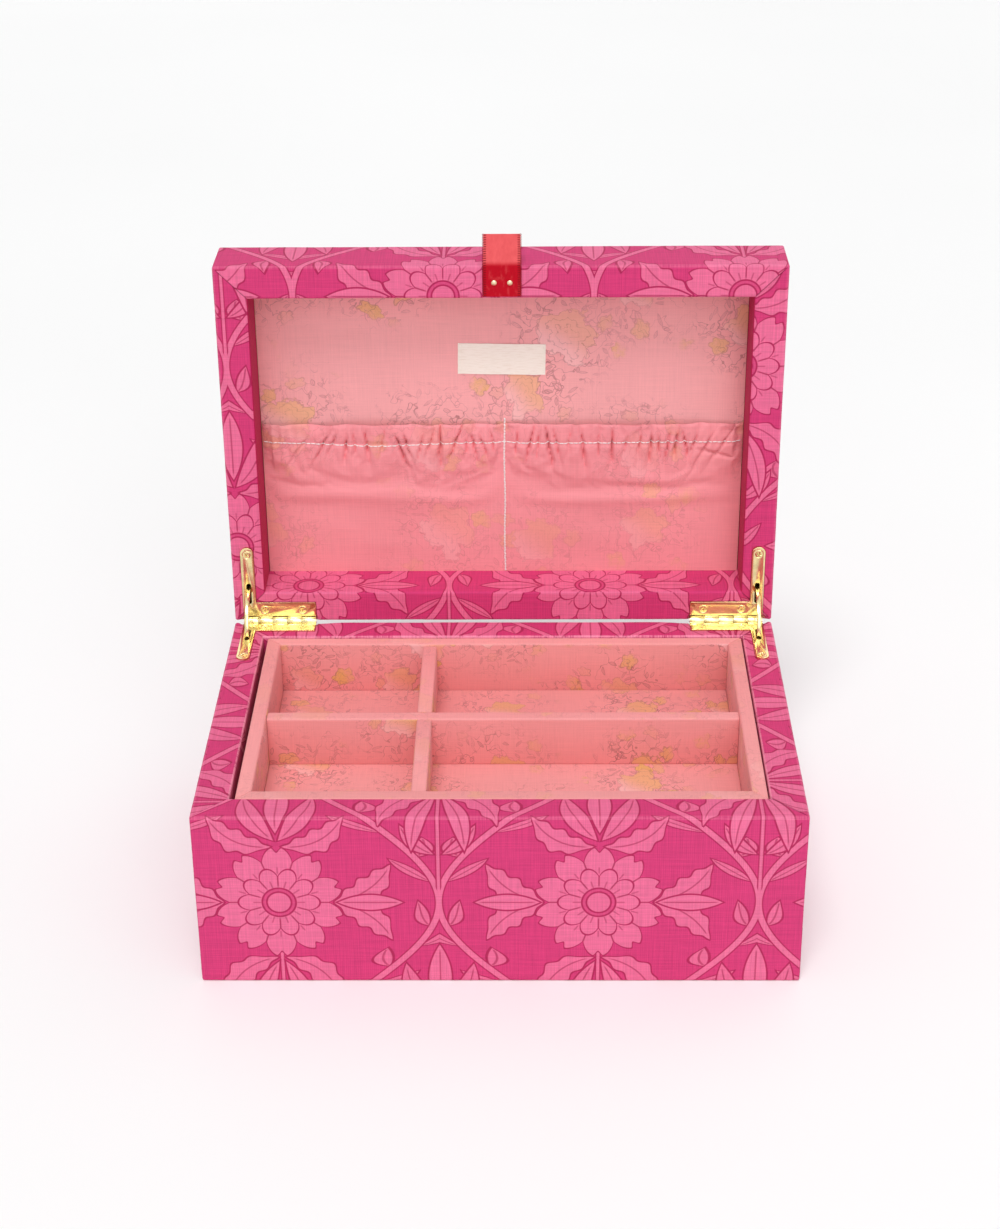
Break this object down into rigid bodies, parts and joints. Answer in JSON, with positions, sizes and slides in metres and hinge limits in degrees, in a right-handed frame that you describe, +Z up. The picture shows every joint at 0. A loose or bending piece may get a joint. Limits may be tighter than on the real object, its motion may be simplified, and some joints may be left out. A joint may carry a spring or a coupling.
{
  "type": "jewelry box",
  "caption": "Rectangular cloth-covered jewelry box with a hinged lid held open by stop hinges, a gathered lid pocket, a ribbon tab and a lift-out divided tray.",
  "frame": {"origin": "centre of the underside, on the surface that the box stands on", "axes": "+X to the right of someone in front of the box, +Y to the back, +Z up"},
  "size_m": [0.24, 0.192, 0.2545],
  "materials": {
    "cover_cloth": "woven damask with a silky figure",
    "underside_cloth": "plain cloth",
    "carcass_board": "bare fibreboard under the cloth",
    "silk_wrapped_board": "board wrapped in printed pink silk",
    "silk_lined_card": "card covered with printed pink silk",
    "pocket_silk": "gathered printed pink silk",
    "label_cloth": "woven tape, bare",
    "ribbon": "red satin ribbon with looped edges",
    "nail_brass": "pale brass",
    "hinge_brass": "bright brass plate"
  },
  "bodies": {
    "base": {"base_cover": "cover_cloth", "base_front_wall": "carcass_board", "base_back_wall": "carcass_board", "base_left_wall": "carcass_board", "base_right_wall": "carcass_board", "lining_front": "silk_lined_card", "lining_back": "silk_lined_card", "lining_left": "silk_lined_card", "lining_right": "silk_lined_card", "base_bottom_board": "carcass_board", "underside_sheet": "underside_cloth", "floor_pad": "silk_lined_card", "base_hinge_screws": "hinge_brass", "left_base_leaf": "hinge_brass", "left_hinge_pin": "hinge_brass", "right_base_leaf": "hinge_brass", "right_hinge_pin": "hinge_brass"},
    "lid": {"lid_cover": "cover_cloth", "lid_front_wall": "carcass_board", "lid_back_wall": "carcass_board", "lid_left_wall": "carcass_board", "lid_right_wall": "carcass_board", "lid_top_board": "carcass_board", "lid_lining": "silk_lined_card", "lid_pocket": "pocket_silk", "lid_label": "label_cloth", "pull_tab": "ribbon", "tab_nails": "nail_brass", "lid_hinge_screws": "hinge_brass", "left_lid_leaf": "hinge_brass", "right_lid_leaf": "hinge_brass"},
    "tray": {"tray_front_wall": "silk_wrapped_board", "tray_back_wall": "silk_wrapped_board", "tray_left_wall": "silk_wrapped_board", "tray_right_wall": "silk_wrapped_board", "tray_floor": "silk_wrapped_board", "tray_long_divider": "silk_wrapped_board", "tray_back_divider": "silk_wrapped_board", "tray_front_divider": "silk_wrapped_board"},
    "left_stay": {"left_hinge_stay": "hinge_brass"},
    "right_stay": {"right_hinge_stay": "hinge_brass"}
  },
  "joints": [
    {"name": "lid_hinge", "type": "hinge", "parent": "base", "child": "lid", "pos_m": [0, 0.0823, 0.0782], "axis": [-1, 0, 0], "range_deg": [-90, 0]},
    {"name": "left_stay_swing", "type": "hinge", "parent": "base", "child": "left_stay", "pos_m": [0, 0.0823, 0.0782], "axis": [-1, 0, 0], "range_deg": [-45, 0]},
    {"name": "right_stay_swing", "type": "hinge", "parent": "base", "child": "right_stay", "pos_m": [0, 0.0823, 0.0782], "axis": [-1, 0, 0], "range_deg": [-45, 0]},
    {"name": "tray_lift", "type": "slide", "parent": "base", "child": "tray", "axis": [0, 0, 1], "range_m": [0, 0.018]}
  ],
  "couplings": [
    {"joint": "left_stay_swing", "follows": "lid_hinge", "ratio": 0.5},
    {"joint": "right_stay_swing", "follows": "lid_hinge", "ratio": 0.5}
  ]
}
